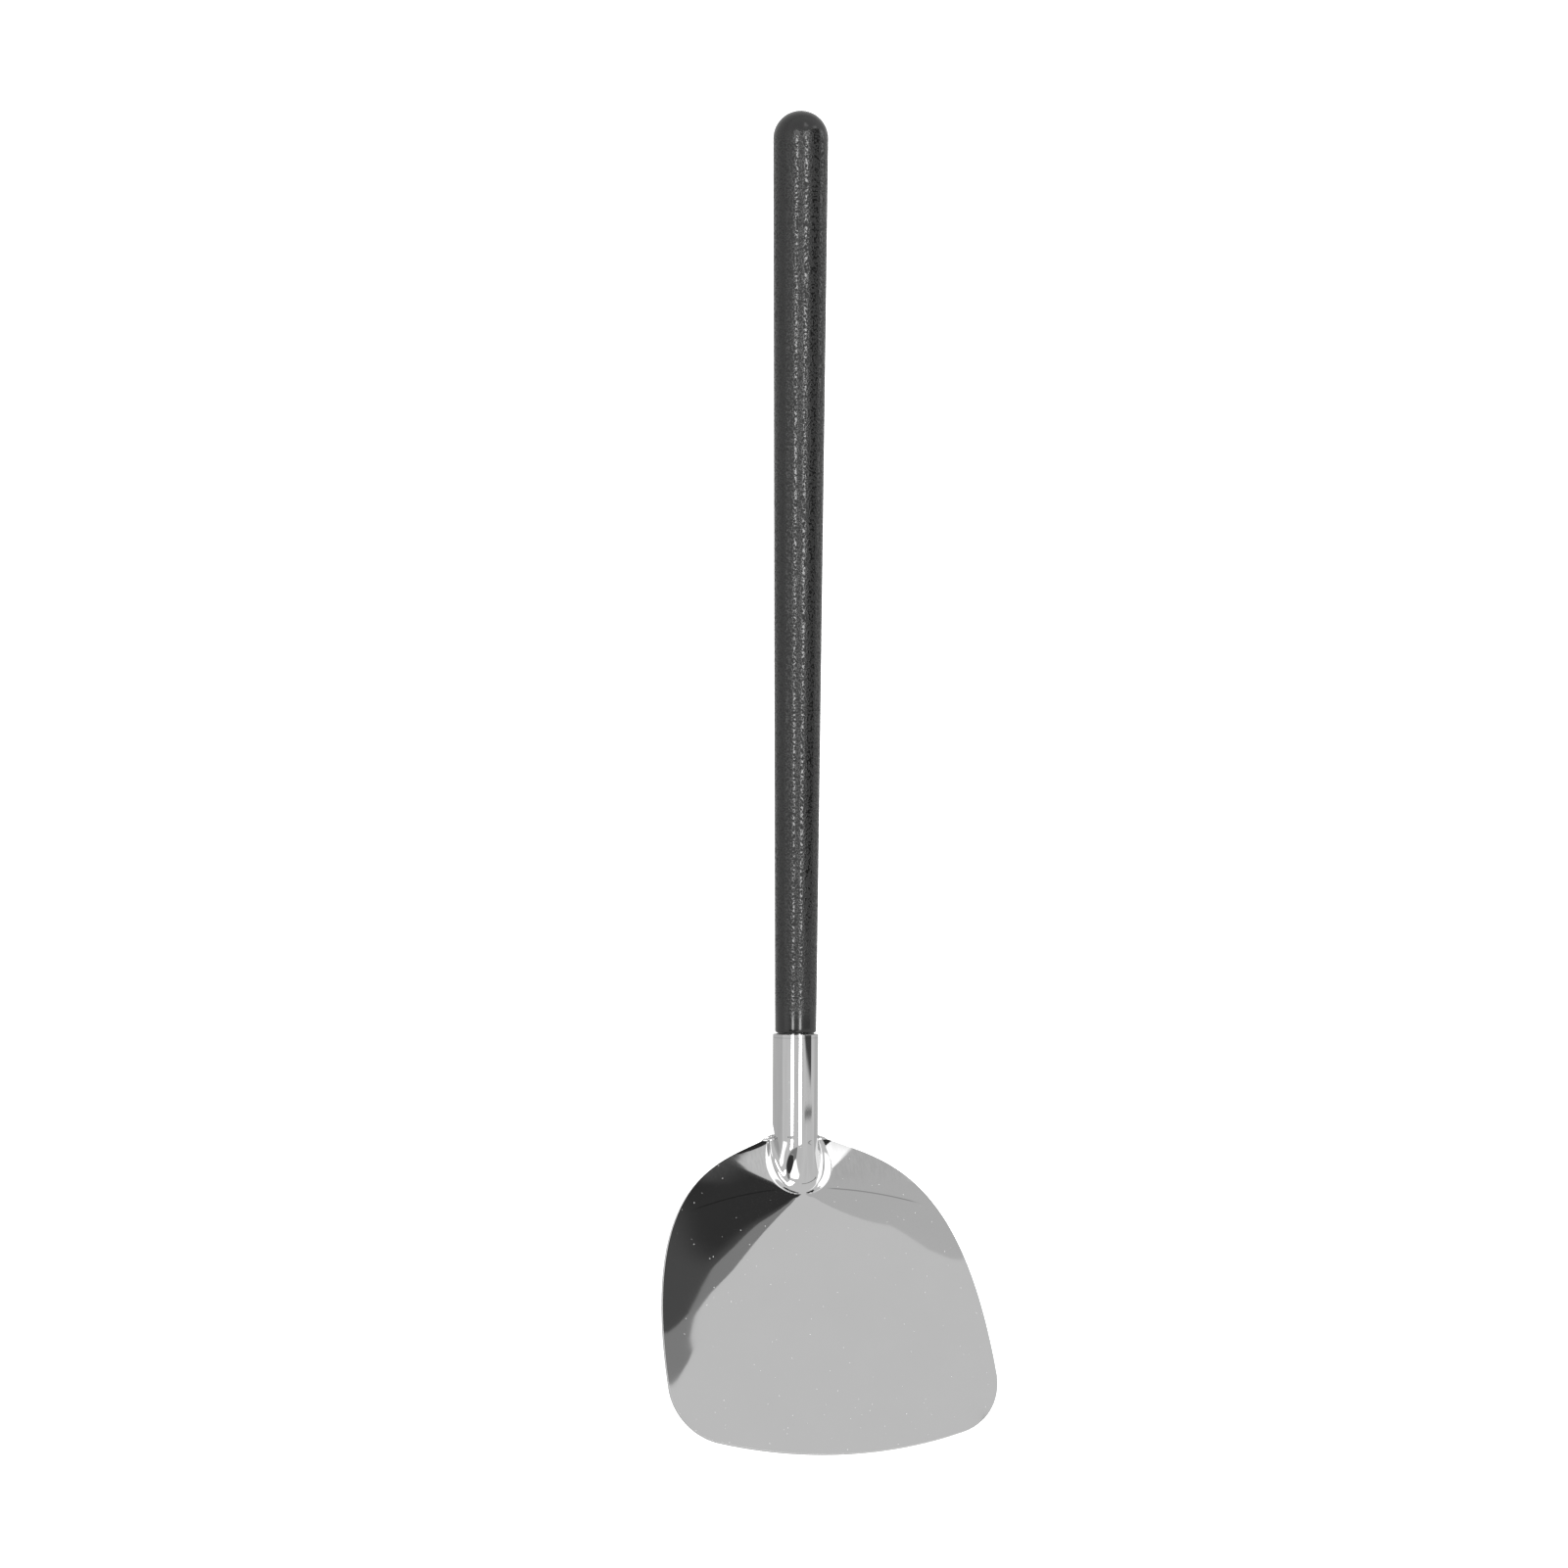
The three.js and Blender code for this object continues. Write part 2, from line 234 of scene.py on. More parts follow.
def turning_point(column, y, curl):
    """A point of the neck, between the blade's surface and the rolled socket."""
    rolled = on_circle(round_angle(column, np.full_like(y, NECK_LENGTH)), y)
    flat = blade_surface(neck_column_x(column), y, curl)
    return lerp(flat, rolled, smooth(y / NECK_LENGTH)[..., None])


def row_edge(row):
    run = BUMP_RUN * row / BUMP_ROWS
    near = side_curve(np.interp(run, CURVE_RUNS, CURVE_SHARES))
    past = row - BUMP_ROWS
    start = np.interp(BUMP_RUN, CURVE_RUNS, CURVE_SHARES)
    side = side_curve(lerp(start, 1, np.clip(past / SIDE_ROWS, 0, 1)))
    corner = corner_point((past - SIDE_ROWS) / CORNER_ROWS / 2)
    pick = [row <= BUMP_ROWS, past <= SIDE_ROWS]
    return [np.select(pick, [near[i], side[i]], corner[i]) for i in (0, 1)]


def row_middle(row):
    far = lerp(BUMP_RUN, BLADE_LENGTH, (row - BUMP_ROWS) / BLADE_ROWS)
    return np.where(row <= BUMP_ROWS, BUMP_RUN * row / BUMP_ROWS, far)


def front_point(column):
    bow_columns = COLUMNS - CORNER_COLUMNS
    bow = bow_point(column / bow_columns)
    corner = corner_point(1 - (column - bow_columns) / CORNER_COLUMNS / 2)
    return [np.where(column <= bow_columns, bow[i], corner[i]) for i in (0, 1)]


def blade_point(column, row, curl):
    """A patch stretched between the neck line, the front edge, the mirror plane and the side."""
    across = shoulder_share(column) ** COLUMN_SPREAD
    along = smooth((row - BUMP_ROWS) / BLADE_ROWS)
    last = np.full_like(row, BUMP_ROWS + BLADE_ROWS)
    edge, far = row_edge(row), row_edge(last)
    near = row_edge(np.zeros_like(row))
    front = front_point(column)
    x = across * edge[0] + lerp(neck_column_x(column), front[0], along)
    x = x - lerp(across * near[0], across * far[0], along)
    run = lerp(row_middle(row), edge[1], across) + along * front[1]
    run = run - lerp(across * near[1], lerp(BLADE_LENGTH, far[1], across), along)
    return blade_surface(x, -run * math.cos(PITCH), curl)


def food_side(columns, rows, curl):
    """Points of the food side, from the socket's rim (row 0) to the front edge."""
    column, row = np.meshgrid(columns, rows)
    side, mirror = np.abs(column), np.where(column < 0, -1, 1)
    mouth_end = NECK_LENGTH + SEAM_MOUTH
    blade = blade_point(side, np.maximum(row - BLADE_ROW, 0), curl)
    y_turning = NECK_LENGTH * (1 - (row - NECK_ROW) / NECK_ROWS)
    turning = turning_point(side, np.clip(y_turning, 0, NECK_LENGTH), curl)
    y_mouth = lerp(mouth_end, NECK_LENGTH, (row - SOCKET_ROWS) / MOUTH_ROWS)
    y_rim = lerp(SOCKET_LENGTH, mouth_end, row / SOCKET_ROWS)
    y_rolled = np.where(row >= SOCKET_ROWS, y_mouth, y_rim)
    rolled = on_circle(round_angle(side, y_rolled), y_rolled)
    behind_blade = np.where((row >= NECK_ROW)[..., None], turning, rolled)
    points = np.where((row >= BLADE_ROW)[..., None], blade, behind_blade)
    points[..., 0] *= mirror
    return points


# bench work
def deselect():
    if bpy.context.object and bpy.context.object.mode != "OBJECT":
        bpy.ops.object.mode_set(mode="OBJECT")
    bpy.ops.object.select_all(action="DESELECT")


def select_only(piece):
    deselect()
    piece.select_set(True)
    bpy.context.view_layer.objects.active = piece


def take_new(name):
    """The primitive that was just added, named."""
    piece = bpy.context.object
    piece.name = piece.data.name = name
    return piece


def settle(piece, material, node):
    """Brings a finished piece into the row frame, in metres, with its place in its mesh."""
    deselect()
    to_row = Matrix.Scale(MM, 4) @ Matrix.Translation(NECK_TO_ROW)
    piece.data.transform(to_row @ piece.matrix_world)
    piece.matrix_world = Matrix.Identity(4)
    piece.data.materials.clear()
    piece.data.materials.append(material)
    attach(piece, "root")
    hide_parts(node)


def apply_modifier(piece, kind, **values):
    select_only(piece)
    bpy.ops.object.modifier_add(type=kind)
    modifier = piece.modifiers[-1]
    for name, value in values.items():
        setattr(modifier, name, value)
    bpy.ops.object.modifier_apply(modifier=modifier.name)


def smooth_by_angle(piece, angle):
    select_only(piece)
    bpy.ops.object.shade_smooth_by_angle(angle=math.radians(angle))


def quarter_arc(steps):
    """Angles from 0 to a right angle."""
    return [math.pi / 2 * step / steps for step in range(steps + 1)]


def turn_up(name, start, stations, sides, along="Y"):
    """A turned piece: a filled circle extruded from station to station and resized at each."""
    deselect()
    tilt = (-math.pi / 2, 0, 0) if along == "Y" else (0, 0, 0)
    axis = Vector((0, 1, 0)) if along == "Y" else Vector((0, 0, 1))
    place, radius = stations[0]
    centre = Vector(start) + axis * place
    bpy.ops.mesh.primitive_circle_add(
        vertices=sides, radius=radius, fill_type="NGON", location=centre, rotation=tilt
    )
    piece = take_new(name)
    bpy.ops.object.transform_apply(location=True, rotation=True, scale=True)
    bpy.ops.object.mode_set(mode="EDIT")
    bpy.ops.mesh.select_all(action="SELECT")
    for next_place, next_radius in stations[1:]:
        move = axis * (next_place - place)
        bpy.ops.mesh.extrude_region_move(TRANSFORM_OT_translate={"value": tuple(move)})
        centre = centre + move
        if next_radius == 0:
            bpy.ops.mesh.merge(type="COLLAPSE")
        elif next_radius != radius:
            share = next_radius / radius
            scale = (share, 1, share) if along == "Y" else (share, share, 1)
            bpy.ops.transform.resize(value=scale, center_override=tuple(centre))
        place, radius = next_place, next_radius
    bpy.ops.mesh.select_all(action="SELECT")
    bpy.ops.mesh.normals_make_consistent(inside=False)
    bpy.ops.object.mode_set(mode="OBJECT")
    return piece


# shader graphs
class Value:
    """A socket whose arithmetic adds Math nodes."""

    def __init__(self, graph, socket):
        self.graph, self.socket = graph, socket

    def calculate(self, operation, *values):
        return self.graph.node("ShaderNodeMath", {"operation": operation}, dict(enumerate(values)))

    def __add__(self, other):
        return self.calculate("ADD", self, other)

    def __sub__(self, other):
        return self.calculate("SUBTRACT", self, other)

    def __rsub__(self, other):
        return self.calculate("SUBTRACT", other, self)

    def __mul__(self, other):
        return self.calculate("MULTIPLY", self, other)

    def __abs__(self):
        return self.calculate("ABSOLUTE", self)

    __radd__ = __add__
    __rmul__ = __mul__

    def over(self, low, high):
        """0 below low, 1 above high, eased between."""
        inputs = {"Value": self, "From Min": low, "From Max": high}
        return self.graph.node("ShaderNodeMapRange", {"interpolation_type": "SMOOTHSTEP"}, inputs)


class Graph:
    """A node tree, emptied; one method makes every node."""

    def __init__(self, owner):
        owner.use_nodes = True
        self.tree = owner.node_tree
        self.tree.nodes.clear()

    def node(self, kind, settings=None, inputs=None, output=0):
        made = self.tree.nodes.new(kind)
        for name, value in (settings or {}).items():
            setattr(made, name, value)
        for name, value in (inputs or {}).items():
            self.feed(made.inputs[name], value)
        return Value(self, made.outputs[output]) if made.outputs else made

    def feed(self, socket, value):
        if isinstance(value, Value):
            self.tree.links.new(value.socket, socket)
        else:
            socket.default_value = value

    def attribute(self, name):
        """A number that the mesh carries on its points."""
        return self.node("ShaderNodeAttribute", {"attribute_name": name}, output="Fac")

    def mix(self, share, first, second):
        """A shader between two shaders."""
        return self.node("ShaderNodeMixShader", {}, {0: share, 1: first, 2: second})


# the Mix node's sockets for colours, which share their names with others
FACTOR, FIRST_COLOUR, SECOND_COLOUR, MIXED_COLOUR = 0, 6, 7, 2


class Finish(Graph):
    """A material with one Principled shader, its constants set on the shader's own sockets."""

    def __init__(self, name, **constants):
        self.material = bpy.data.materials.new(name)
        super().__init__(self.material)
        surface = self.node("ShaderNodeBsdfPrincipled")
        self.node("ShaderNodeOutputMaterial", {}, {"Surface": surface})
        self.shader = surface.socket.node
        self.feed_shader(**constants)

    def feed_shader(self, **values):
        for name, value in values.items():
            self.feed(self.shader.inputs[name.replace("_", " ")], value)

    def place(self, stretch=(1, 1, 1)):
        """Object coordinates, in metres, stretched."""
        coordinates = self.node("ShaderNodeTexCoord", output="Object")
        return self.node("ShaderNodeMapping", {}, {"Vector": coordinates, "Scale": stretch})

    def axes(self):
        """Object X, Y and Z, in metres."""
        coordinates = self.node("ShaderNodeTexCoord", output="Object")
        split = self.node("ShaderNodeSeparateXYZ", {}, {0: coordinates})
        return [Value(self, socket) for socket in split.socket.node.outputs]

    def noise(self, scale, detail=2.0, rough=0.5, stretch=(1, 1, 1)):
        inputs = {"Vector": self.place(stretch), "Scale": scale}
        inputs.update({"Detail": detail, "Roughness": rough})
        return self.node("ShaderNodeTexNoise", {"noise_dimensions": "3D"}, inputs, "Fac")

    def blend(self, share, first, second):
        made = self.node("ShaderNodeMix", {"data_type": "RGBA"}, {FACTOR: share}, MIXED_COLOUR)
        self.feed(made.socket.node.inputs[FIRST_COLOUR], first)
        self.feed(made.socket.node.inputs[SECOND_COLOUR], second)
        return made

    def bump(self, height, distance):
        inputs = {"Height": height, "Distance": distance, "Strength": 1.0}
        return self.node("ShaderNodeBump", {}, inputs, "Normal")


def shade(colour, share):
    return (*(share * c for c in colour), 1)


# marks in the steel, in metres, with y from the neck line toward the handle's end, among them
# painted shade along the die line and the rim line and a painted highlight on the cut edge;
# each pair is a range over which a mark fades in or out
STREAK_GRAIN, STREAK_STRETCH = 1400.0, (1.0, 0.03, 0.5)
STREAKS_BEHIND = (-0.016, -0.010)
STREAK_STRENGTH = 0.16
DIE_LINE_Y, DIE_LINE_BOW = -0.0152, 3.5
DIE_LINE_WIDTH = (0.0001, 0.0003)
DIE_LINE_START, DIE_LINE_END = (0.008, 0.012), (0.036, 0.042)
DIE_LINE_SHADE_STRENGTH = 0.45
RIM_LINE_Y = (SOCKET_LENGTH - 1.1) * MM
RIM_LINE_WIDTH = (0.00005, 0.0003)
RIM_LINE_SHADE_STRENGTH = 0.2
HAZE_GRAIN = 60.0
DUST_GRAIN, DUST_SIZE = 350.0, (0.04, 0.07)
CUT_EDGE = (0.9, 0.99)
TURNING_GRAIN = 2500.0


def polished_steel(settings):
    """Mirror steel with haze, dust, streaks, painted shade along the die line and the rim line, and
    a matt cut edge with a painted highlight.
    """
    colour = settings.steel_colour
    finish = Finish("polished_steel", Metallic=1.0)
    x, y = finish.axes()[:2]
    side, neck_y = abs(x), y - NECK_TO_ROW.y * MM
    haze = finish.noise(HAZE_GRAIN, detail=4.0, rough=0.6).over(0.2, 0.8)
    streaks = finish.noise(STREAK_GRAIN, rough=0.6, stretch=STREAK_STRETCH).over(0.35, 0.65)
    streaks = streaks * neck_y.over(*STREAKS_BEHIND)
    # the die line is a stamped crease; its dark colour is painted shade
    off_line = abs(neck_y - DIE_LINE_Y + DIE_LINE_BOW * x * x)
    die_line_shade = (1 - off_line.over(*DIE_LINE_WIDTH)) * side.over(*DIE_LINE_START)
    die_line_shade = die_line_shade * (1 - side.over(*DIE_LINE_END))
    # the dark line below the socket's rim is painted shade of its rolled edge
    rim_line_shade = 1 - abs(neck_y - RIM_LINE_Y).over(*RIM_LINE_WIDTH)
    dots = {"Vector": finish.place(), "Scale": DUST_GRAIN}
    dust = 1 - finish.node("ShaderNodeTexVoronoi", {}, dots, "Distance").over(*DUST_SIZE)
    # the cut edge's rougher finish is real; its lighter colour is a painted highlight
    cut = finish.attribute("cut").over(*CUT_EDGE)
    painted_line_shade = DIE_LINE_SHADE_STRENGTH * die_line_shade + RIM_LINE_SHADE_STRENGTH * rim_line_shade
    sheet = finish.blend(haze, shade(colour, 0.98), shade(colour, 1))
    drawn = finish.blend(STREAK_STRENGTH * streaks, sheet, shade(colour, 0.6))
    # painted shade along the die line and the rim line
    with_line_shade = finish.blend(painted_line_shade, drawn, shade(colour, 0.2))
    finish.feed_shader(
        Base_Color=finish.blend(cut, with_line_shade, shade(colour, 1.15)),
        Roughness=settings.steel_roughness * (0.8 + 0.4 * haze) + 0.3 * cut + 0.5 * dust,
    )
    return finish.material


# the grip's grain fades in above its foot and out before its round end, in metres from each
GRAIN_FROM_FOOT, GRAIN_FROM_END = (0.003, 0.012), (0.005, 0.012)
# where the spigot below the foot turns dark: painted shadow in the gap inside the socket's rim
SPIGOT_SHADOW_EDGE = (-0.0004, 0)


def black_plastic(settings):
    """Spark-eroded grain between a smooth foot and a smooth end: shiny ridges and dull pits, the
    pits darkened with painted shade, and painted shadow on the spigot below the foot.
    """
    colour = settings.plastic_colour
    gloss = {"Specular_IOR_Level": 0.65, "Sheen_Weight": 0.3, "Sheen_Roughness": 0.25}
    finish = Finish("black_plastic", **gloss)
    y = finish.axes()[1]
    from_foot = y - (NECK_TO_ROW.y + FOOT) * MM
    grained = from_foot.over(*GRAIN_FROM_FOOT) * (HANDLE_END.y - y).over(*GRAIN_FROM_END)
    ridge = finish.noise(settings.grains).over(0.38, 0.6)
    # the pits' rougher finish is real; their darker colour is painted shade
    pit_and_shade = (1 - ridge) * grained
    skin_with_pit_shade = finish.blend(pit_and_shade, shade(colour, 1), shade(colour, 0.35))
    finish.feed_shader(
        # painted shadow on the spigot below the foot, the grained skin above it
        Base_Color=finish.blend(from_foot.over(*SPIGOT_SHADOW_EDGE), shade(colour, 0.2), skin_with_pit_shade),
        Roughness=settings.plastic_roughness + 0.6 * pit_and_shade,
        Normal=finish.bump(ridge * grained, settings.grain_depth),
    )
    return finish.material


def pin_steel(settings):
    """Bright steel with fine turning marks."""
    colour = settings.steel_colour
    finish = Finish("pin_steel", Metallic=1.0)
    turning = finish.noise(TURNING_GRAIN)
    finish.feed_shader(
        Base_Color=finish.blend(turning, shade(colour, 0.8), shade(colour, 1)),
        Roughness=0.25 + 0.15 * turning,
    )
    return finish.material


# what a user would change
class LADLE_PG_head(PropertyGroup):
    thickness: FloatProperty(
        name="Sheet thickness",
        description="Thickness of the stamped sheet",
        default=1.2 * MM,
        unit="LENGTH",
    )
    edge_round: FloatProperty(
        name="Edge rounding",
        description="Rounding of the cut edges",
        default=0.22 * MM,
        unit="LENGTH",
    )
    curl: FloatProperty(
        name="Wing curl",
        description="How strongly both wings curl up, as a share of their reach",
        default=0.065,
    )
    steel_colour: FloatVectorProperty(
        name="Steel colour",
        description="Colour of the polished steel",
        default=(0.63, 0.63, 0.63),
        subtype="COLOR",
    )
    steel_roughness: FloatProperty(
        name="Polish",
        description="Roughness of the polished steel",
        default=0.02,
        min=0,
        max=1,
        subtype="FACTOR",
    )


class LADLE_PG_handle(PropertyGroup):
    plastic_colour: FloatVectorProperty(
        name="Plastic colour",
        description="Colour of the handle",
        default=(0.007, 0.007, 0.007),
        subtype="COLOR",
    )
    plastic_roughness: FloatProperty(
        name="Gloss",
        description="Roughness of the handle's smooth skin",
        default=0.14,
        min=0,
        max=1,
        subtype="FACTOR",
    )
    grain_depth: FloatProperty(
        name="Grain depth",
        description="Depth of the moulded grain",
        default=0.045 * MM,
        unit="LENGTH",
    )
    grains: FloatProperty(
        name="Grain count",
        description="Grains per metre",
        default=1300,
        min=1,
    )


class LADLE_PG_stage(PropertyGroup):
    tent: FloatProperty(
        name="Tent light",
        description="Brightness of the white surroundings",
        default=0.79,
        min=0,
    )
    floor_light: FloatProperty(
        name="Floor in reflections",
        description="Brightness of the floor in the steel",
        default=0.64,
        min=0,
    )
    strips: FloatProperty(
        name="Strip lights",
        description="Brightness of the two strip lights",
        default=9.0,
        min=0,
    )


# how finely and how sharply the pieces are made
EDGE_SEGMENTS, EDGE_ANGLE = 3, 50
HANDLE_SIDES, HANDLE_SHARP_ANGLE = 96, 35
FOOT_STEPS, END_STEPS = 6, 16
GRIP_RINGS = (0.003, 0.997)
PIN_SIDES, PIN_SHARP_ANGLE = 48, 40
PIN_HEAD_STEPS = 8
PIN_TIP_RADIUS = 0.05


class LADLE_OT_head(Operator):
    """Stamped head: blade, wings, bump, neck and rolled socket in one polished sheet"""

    bl_idname = "ladle.head"
    bl_label = "Stamped head"

    def execute(self, context):
        settings = context.scene.ladle_head
        deselect()
        across, down = COLUMNS * 2 * SPLIT, FRONT_ROW * SPLIT
        bpy.ops.mesh.primitive_grid_add(
            x_subdivisions=across, y_subdivisions=down, size=2 * BLADE_HALF
        )
        head = take_new("stamped_head")
        columns = np.linspace(-COLUMNS, COLUMNS, across + 1)
        rows = np.linspace(FRONT_ROW, 0, down + 1)
        points = food_side(columns, rows, settings.curl)
        if len(head.data.vertices) != points.size // 3:
            raise RuntimeError("the grid hasn't the sheet's columns and rows")
        head.data.vertices.foreach_set("co", points.ravel())
        head.data.update()
        bpy.ops.object.shade_smooth()
        rim = head.vertex_groups.new(name="cut")
        apply_modifier(
            head,
            "SOLIDIFY",
            thickness=settings.thickness / MM,
            offset=-1.0,
            use_even_offset=True,
            rim_vertex_group=rim.name,
        )
        apply_modifier(
            head,
            "BEVEL",
            width=settings.edge_round / MM,
            segments=EDGE_SEGMENTS,
            limit_method="ANGLE",
            angle_limit=math.radians(EDGE_ANGLE),
            harden_normals=True,
        )
        # the cut edge goes on as an attribute, which the steel's finish reads
        cut = [sum(group.weight for group in point.groups) for point in head.data.vertices]
        head.vertex_groups.clear()
        head.data.attributes.new("cut", "FLOAT", "POINT").data.foreach_set("value", cut)
        settle(head, polished_steel(settings), "head")
        return {"FINISHED"}


class LADLE_OT_handle(Operator):
    """Turned black handle with a round end, and the spigot that sits in the socket"""

    bl_idname = "ladle.handle"
    bl_label = "Handle"

    def execute(self, context):
        end = FOOT + HANDLE_LENGTH
        tip = SOCKET_LENGTH - SPIGOT_LENGTH
        spigot = SOCKET_RADIUS - context.scene.ladle_head.thickness / MM - CLEARANCE
        stations = [(tip, spigot - SPIGOT_CHAMFER), (tip + SPIGOT_CHAMFER, spigot), (FOOT, spigot)]
        for angle in quarter_arc(FOOT_STEPS):
            along = BUTT_ROUND * (1 - math.cos(angle))
            inward = BUTT_ROUND * (1 - math.sin(angle))
            stations.append((FOOT + along, BUTT_RADIUS - inward))
        # a ring close to each end of the grip keeps its long faces straight in the light
        for share in GRIP_RINGS:
            along = lerp(FOOT + BUTT_ROUND, end - END_RADIUS, share)
            stations.append((along, lerp(BUTT_RADIUS, END_RADIUS, share)))
        for angle in quarter_arc(END_STEPS)[:-1]:
            back = END_RADIUS * (1 - math.sin(angle))
            stations.append((end - back, END_RADIUS * math.cos(angle)))
        stations.append((end, 0))
        handle = turn_up("grained_handle", (0, 0, 0), stations, HANDLE_SIDES)
        smooth_by_angle(handle, HANDLE_SHARP_ANGLE)
        settle(handle, black_plastic(context.scene.ladle_handle), "handle")
        return {"FINISHED"}


class LADLE_OT_pin(Operator):
    """Round-head pin through the back of the socket into the spigot"""

    bl_idname = "ladle.pin"
    bl_label = "Retaining pin"

    def execute(self, context):
        top = -(SOCKET_RADIUS + CLEARANCE)
        start = (0, SOCKET_LENGTH - PIN_FROM_RIM, top)
        stations = [(PIN_LENGTH, PIN_TIP_RADIUS), (PIN_LENGTH - PIN_POINT, PIN_SHANK)]
        stations += [(0, PIN_SHANK), (0, PIN_HEAD)]
        for angle in quarter_arc(PIN_HEAD_STEPS)[1:-1]:
            stations.append((-PIN_HEAD_HEIGHT * math.sin(angle), PIN_HEAD * math.cos(angle)))
        stations.append((-PIN_HEAD_HEIGHT, 0))
        pin = turn_up("round_head_pin", start, stations, PIN_SIDES, "Z")
        smooth_by_angle(pin, PIN_SHARP_ANGLE)
        settle(pin, pin_steel(context.scene.ladle_head), "retaining_pin")
        return {"FINISHED"}


# the studio, laid out round the camera's line of sight, in metres
PHOTO_PIXELS = 1601
MM_PER_PIXEL = 0.3282
VIEW_TILT = math.radians(22)
CAMERA_ROLL = 0.0058
CAMERA_DISTANCE = 1.6
CAMERA_RANGE = (0.05, 50)
SENSOR_WIDTH = 36
FIELD_WIDTH = MM_PER_PIXEL * PHOTO_PIXELS * MM
# the point of the handle's axis that the camera looks at, and how far right of it
SIGHT_Y = -0.0035
SIGHT_RIGHT = -0.00438
ACROSS = Vector((math.cos(VIEW_TILT), 0, math.sin(VIEW_TILT)))
TOWARD = Vector((-math.sin(VIEW_TILT), 0, math.cos(VIEW_TILT)))
ALONG = Vector((0, 1, 0))
HEAD_CENTRE = Vector((0, -0.16, 0.025))

FLOOR_SIZE, FLOOR_GAP = 12, 0.00005
REFLECTED_FLOOR_SIZE, REFLECTED_FLOOR_DEPTH = 400, 0.05
STRIP_DISTANCE, STRIP_LENGTH, STRIP_MIDDLE = 1.5, 1.0, 0.26
# name, azimuth in degrees and width
STRIPS = (("strip_left", -15.5, 0.28), ("strip_right", 25, 0.31))
FLAG_AZIMUTH, FLAG_DISTANCE, FLAG_BRIGHTNESS = 67, 0.08, 0.035
FLAG_WIDTH, FLAG_LOW, FLAG_HIGH = 0.061, -0.0507, 0.26
CELLS_PER_RIM = 4

# far cards that only the reflections see: name, brightness, distance, width of the soft rim
# and corners, the last two in degrees as seen from the head
CARDS = (
    ("deep_wing", 0.042, 370, 0.6, [
        (54.8, 34.4), (54.8, 37.3), (55.4, 37.36), (56, 37.08), (56.6, 37.6), (57.3, 38.2),
        (58, 38.6), (57.8, 38), (58, 37), (57.7, 34.8),
    ]),
    ("dark_wing", 0.095, 380, 0, [
        (53.2, 37.4), (53.6, 37.86), (53.85, 37.95), (54.2, 37.82), (54.6, 37.6), (54.9, 37.42),
        (55.4, 37.36), (56, 37.08), (56.6, 37.6), (57.3, 38.2), (58, 38.66), (59, 39.2),
        (60, 39.58), (60.9, 39.88), (62, 40.2), (62, 40.08), (60.9, 39.74), (60, 39.42),
        (59, 38.98), (58.2, 38.5), (57.8, 38), (57.9, 37), (57.5, 35.2), (53.5, 34.8),
    ]),
    ("mid_wing", 0.3, 390, 0, [
        (52.2, 38.3), (52.3, 38.72), (52.6, 38.82), (52.8, 38.8), (53.2, 38.5), (53.75, 38.2),
        (54.2, 38.2), (54.6, 38.42), (54.9, 38.42), (55.7, 38.28), (56.2, 38.1), (56.5, 37.9),
        (57, 37.5), (57, 36), (52, 36),
    ]),
    ("white_right", 1.9, 410, 1.5, [
        (59.4, 38.55), (62.2, 39.85), (66, 41), (84, 40), (84, 32), (100, 25), (112, 20), (112, 2),
        (90, 4), (75, 8), (62, 20), (50, 33), (53, 34.6), (57.5, 35), (59, 36.5),
    ]),
    ("white_left", 1.9, 410, 0.5, [
        (18, 41.3), (30, 42.4), (38, 42.6), (42, 42.2), (43.2, 41.1), (43.75, 41.3), (43.9, 42.1),
        (43, 43), (42.3, 43.6), (40, 46), (37, 52), (34, 60), (24, 60), (18, 50),
    ]),
    ("grey_wing", 0.64, 400, 0, [
        (43.3, 36.5), (43.3, 41.2), (43.9, 42), (44.4, 41), (44.75, 40.2), (44.95, 39),
        (44.95, 37.85), (45.8, 37.83), (46.05, 37.6), (46.05, 36.5),
    ]),
    ("dark_low", 0.05, 390, 0.6, [
        (-38, -5.4), (-30, -5.4), (-22, -5.5), (-14, -6.4), (-2, -8.5), (3, -12), (3, -24),
        (-38, -16),
    ]),
    ("mid_low", 0.3, 400, 0.8, [
        (-30, -5), (14, -5), (12, -12), (3, -12.5), (-2, -9), (-14, -7), (-30, -5.6),
    ]),
    ("white_low", 2.0, 400, 1.5, [
        (3, -13), (5, -11.5), (12, -11.5), (20, -15.6), (30, -19.6), (37, -22), (37, -30), (3, -25),
    ]),
    ("white_far_left", 2.0, 400, 1.5, [(-63, 6), (-45, 6), (-39, 1), (-40, -2), (-63, -2)]),
    ("dark_streak", 0.08, 400, 0.3, [
        (44, -3.1), (55, -3.4), (80, -3.7), (87, -3.7), (87, -1), (44, -1),
    ]),
    ("dark_spot", 0.12, 400, 0.08, [
        (44, -3.9), (60, -3.84), (97, -3.84), (90, -4.02), (50, -4.04),
    ]),
)


def sight(azimuth, elevation):
    """A direction: degrees to the right of the camera and degrees toward the handle's end."""
    a, e = math.radians(azimuth), math.radians(elevation)
    flat = ACROSS * math.sin(a) + TOWARD * math.cos(a)
    return flat * math.cos(e) + ALONG * math.sin(e)


def glow(name, brightness, soft=False):
    """A light that shows as far as the mesh's cover says, or everywhere."""
    material = bpy.data.materials.new(name)
    graph = Graph(material)
    light = graph.node("ShaderNodeEmission", {}, {"Strength": brightness})
    if soft:
        clear = graph.node("ShaderNodeBsdfTransparent")
        light = graph.mix(graph.attribute("cover"), clear, light)
    graph.node("ShaderNodeOutputMaterial", {}, {"Surface": light})
    return material


